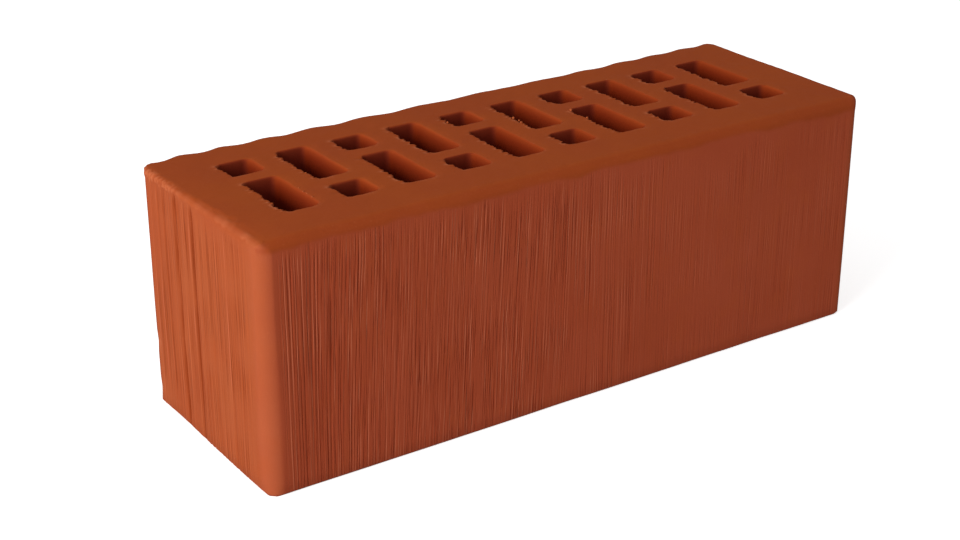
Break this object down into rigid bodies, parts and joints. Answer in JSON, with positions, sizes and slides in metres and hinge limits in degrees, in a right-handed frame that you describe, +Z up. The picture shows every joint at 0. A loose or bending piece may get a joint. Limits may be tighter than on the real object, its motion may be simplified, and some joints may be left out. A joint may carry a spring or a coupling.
{
  "type": "clay brick",
  "caption": "Extruded facing brick of fired red clay with staggered slots and small holes through it, a combed face with a smooth rolled top edge, and a rippled back.",
  "frame": {"origin": "centre of the bounding box's underside, on the bed that the brick lies on", "axes": "+X along the length, +Y across the width to the rippled back face, +Z up along the holes"},
  "size_m": [0.25, 0.085, 0.088],
  "materials": {
    "fired_clay": "matt, unglazed red-brown terracotta, finely combed on the upright faces"
  },
  "bodies": {
    "root": {"brick": "fired_clay"}
  },
  "joints": []
}
